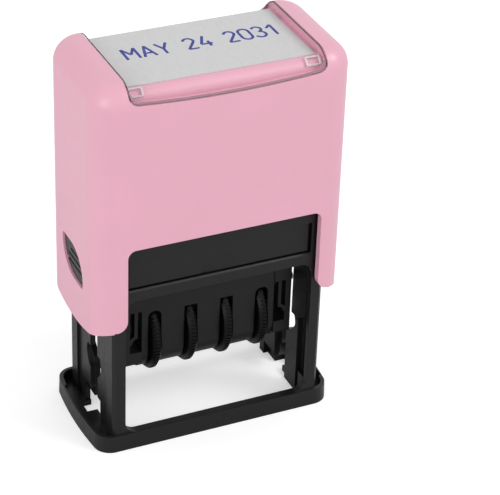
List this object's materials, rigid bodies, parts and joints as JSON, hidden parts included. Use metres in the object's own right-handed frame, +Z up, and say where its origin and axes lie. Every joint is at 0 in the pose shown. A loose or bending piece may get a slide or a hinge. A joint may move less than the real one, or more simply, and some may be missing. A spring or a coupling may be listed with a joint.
{
  "type": "self-inking date stamp",
  "caption": "Self-inking date stamp whose housing presses down over a frame and turns a carriage with date bands and thumbwheels from its ink pad to the paper",
  "frame": {"origin": "middle of the foot's underside, centred from side to side and from front to back", "axes": "+Z up, -Y towards the user, the side where the ink cartridge is pulled out and the thumbwheels are reached, +X to the right as seen from the front"},
  "size_m": [0.062, 0.0332, 0.097],
  "materials": {
    "pink_plastic": "satin",
    "button_plastic": "satin",
    "black_plastic": "fine matte",
    "wheel_plastic": "satin",
    "clear_plastic": "polished",
    "card_stock": "uncoated card",
    "inked_felt": "ink-soaked felt",
    "die_rubber": "matte",
    "band_rubber": "matte",
    "spring_steel": "drawn wire",
    "pin_steel": "turned"
  },
  "bodies": {
    "base": {"base_frame": "black_plastic", "return_spring_left": "spring_steel", "return_spring_right": "spring_steel"},
    "cartridge": {"pad_cartridge": "black_plastic", "ink_pad": "inked_felt"},
    "housing": {"housing_shell": "pink_plastic", "spring_plate": "black_plastic", "index_card": "card_stock"},
    "window": {"window_lens": "clear_plastic"},
    "left_button": {"lock_button_left": "button_plastic"},
    "right_button": {"lock_button_right": "button_plastic"},
    "carriage": {"carriage_hood": "black_plastic", "carriage_end_left": "black_plastic", "carriage_end_right": "black_plastic", "pivot_pin_left": "pin_steel", "pivot_pin_right": "pin_steel", "follower_pin_left": "pin_steel", "follower_pin_right": "pin_steel", "platen": "black_plastic", "text_die": "die_rubber", "band_bridge": "black_plastic", "band_axle": "pin_steel", "axle_washer_left": "pin_steel", "axle_washer_right": "pin_steel", "month_band": "band_rubber", "day_tens_band": "band_rubber", "day_units_band": "band_rubber", "year_band": "band_rubber"},
    "month_dial": {"month_wheel": "wheel_plastic"},
    "day_tens_dial": {"day_tens_wheel": "wheel_plastic"},
    "day_units_dial": {"day_units_wheel": "wheel_plastic"},
    "year_dial": {"year_wheel": "wheel_plastic"}
  },
  "joints": [
    {"name": "housing_slide", "type": "slide", "parent": "base", "child": "housing", "axis": [0, 0, -1], "range_m": [0, 0.026], "stiffness_N_per_m": 300, "springref_m": -0.01, "deforming": ["return_spring_left", "return_spring_right"]},
    {"name": "carriage_flip", "type": "hinge", "parent": "housing", "child": "carriage", "pos_m": [0, 0, 0.03508], "axis": [1, 0, 0], "range_deg": [0, 180]},
    {"name": "cartridge_slide", "type": "slide", "parent": "base", "child": "cartridge", "axis": [0, 1, 0], "range_m": [-0.028, 0]},
    {"name": "window_lift", "type": "slide", "parent": "housing", "child": "window", "axis": [0, 0, 1], "range_m": [0, 0.01]},
    {"name": "left_button_press", "type": "slide", "parent": "housing", "child": "left_button", "axis": [1, 0, 0], "range_m": [0, 0.002], "stiffness_N_per_m": 500, "springref_m": -0.002},
    {"name": "right_button_press", "type": "slide", "parent": "housing", "child": "right_button", "axis": [-1, 0, 0], "range_m": [0, 0.002], "stiffness_N_per_m": 500, "springref_m": -0.002},
    {"name": "month_turn", "type": "hinge", "parent": "carriage", "child": "month_dial", "pos_m": [0, 0, 0.024], "axis": [1, 0, 0], "continuous": true},
    {"name": "day_tens_turn", "type": "hinge", "parent": "carriage", "child": "day_tens_dial", "pos_m": [0, 0, 0.024], "axis": [1, 0, 0], "continuous": true},
    {"name": "day_units_turn", "type": "hinge", "parent": "carriage", "child": "day_units_dial", "pos_m": [0, 0, 0.024], "axis": [1, 0, 0], "continuous": true},
    {"name": "year_turn", "type": "hinge", "parent": "carriage", "child": "year_dial", "pos_m": [0, 0, 0.024], "axis": [1, 0, 0], "continuous": true}
  ],
  "couplings": [
    {"joint": "carriage_flip", "follows": "housing_slide", "rad_per_m": 120.83}
  ]
}
